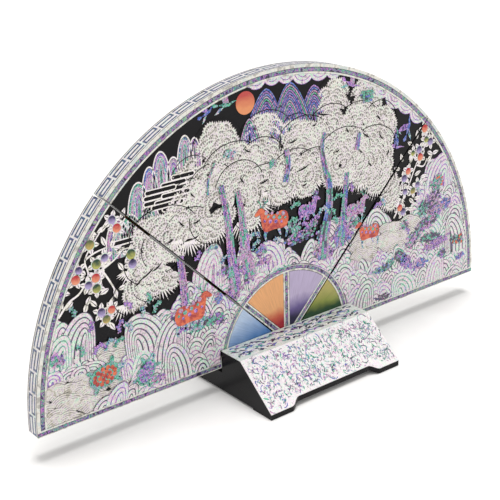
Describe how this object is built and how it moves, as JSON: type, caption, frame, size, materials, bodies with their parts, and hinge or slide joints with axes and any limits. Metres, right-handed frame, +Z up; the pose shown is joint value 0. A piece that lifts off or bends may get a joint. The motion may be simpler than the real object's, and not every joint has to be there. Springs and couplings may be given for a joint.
{
  "type": "folding display fan on stand",
  "caption": "Semicircular display fan in hinged leaves of black lacquer with shell inlay, standing in a low lacquered stand.",
  "frame": {"origin": "on the ground, under the middle of the stand and of the fan", "axes": "+X to the right seen from the picture side, +Y to the back, +Z up"},
  "size_m": [0.3, 0.0892, 0.1632],
  "materials": {
    "lacquered_wood": "gloss black lacquer",
    "white_shell": "polished white shell",
    "abalone_stripe": "polished abalone and white shell stripes",
    "purple_shell": "satin dyed shell",
    "orange_shell": "satin dyed shell",
    "green_shell": "satin dyed shell",
    "blue_shell": "satin dyed shell",
    "red_shell": "satin dyed shell",
    "brass": "satin"
  },
  "bodies": {
    "stand": {"stand_block": "lacquered_wood", "stand_front_shell": "white_shell", "stand_top_shell": "white_shell"},
    "centre_leaf": {"centre_leaf_core": "lacquered_wood", "centre_picture_panel": "lacquered_wood", "centre_rim_band": "white_shell", "centre_arc_border": "abalone_stripe", "centre_hub_arc": "abalone_stripe", "right_hub_divider": "abalone_stripe", "left_hub_divider": "abalone_stripe", "middle_hub_divider": "abalone_stripe", "purple_hub_panel": "purple_shell", "orange_hub_panel": "orange_shell", "sun_disc": "red_shell", "right_inner_centre_plate": "brass", "right_inner_hinge_pin": "brass", "right_inner_centre_screw_lower": "brass", "right_inner_centre_screw_upper": "brass", "right_outer_centre_plate": "brass", "right_outer_hinge_pin": "brass", "right_outer_centre_screw_lower": "brass", "right_outer_centre_screw_upper": "brass", "left_inner_centre_plate": "brass", "left_inner_hinge_pin": "brass", "left_inner_centre_screw_lower": "brass", "left_inner_centre_screw_upper": "brass", "left_outer_centre_plate": "brass", "left_outer_hinge_pin": "brass", "left_outer_centre_screw_lower": "brass", "left_outer_centre_screw_upper": "brass"},
    "left_leaf": {"left_leaf_core": "lacquered_wood", "left_picture_panel": "lacquered_wood", "left_rim_band": "white_shell", "left_arc_border": "abalone_stripe", "left_bottom_border": "abalone_stripe", "left_hub_arc": "abalone_stripe", "blue_hub_panel": "blue_shell", "left_inner_wing_plate": "brass", "left_inner_wing_screw_lower": "brass", "left_inner_wing_screw_upper": "brass", "left_outer_wing_plate": "brass", "left_outer_wing_screw_lower": "brass", "left_outer_wing_screw_upper": "brass"},
    "right_leaf": {"right_leaf_core": "lacquered_wood", "right_picture_panel": "lacquered_wood", "right_rim_band": "white_shell", "right_arc_border": "abalone_stripe", "right_bottom_border": "abalone_stripe", "right_hub_arc": "abalone_stripe", "green_hub_panel": "green_shell", "right_inner_wing_plate": "brass", "right_inner_wing_screw_lower": "brass", "right_inner_wing_screw_upper": "brass", "right_outer_wing_plate": "brass", "right_outer_wing_screw_lower": "brass", "right_outer_wing_screw_upper": "brass"}
  },
  "joints": [
    {"name": "fan_lift", "type": "slide", "parent": "stand", "child": "centre_leaf", "axis": [0, 0, 1], "range_m": [0, 0.03]},
    {"name": "left_leaf_fold", "type": "hinge", "parent": "centre_leaf", "child": "left_leaf", "pos_m": [0, 0.0055, 0.0132], "axis": [0.7071, 0, -0.7071], "range_deg": [0, 180]},
    {"name": "right_leaf_fold", "type": "hinge", "parent": "centre_leaf", "child": "right_leaf", "pos_m": [0, 0.0055, 0.0132], "axis": [0.7071, 0, 0.7071], "range_deg": [0, 180]}
  ]
}
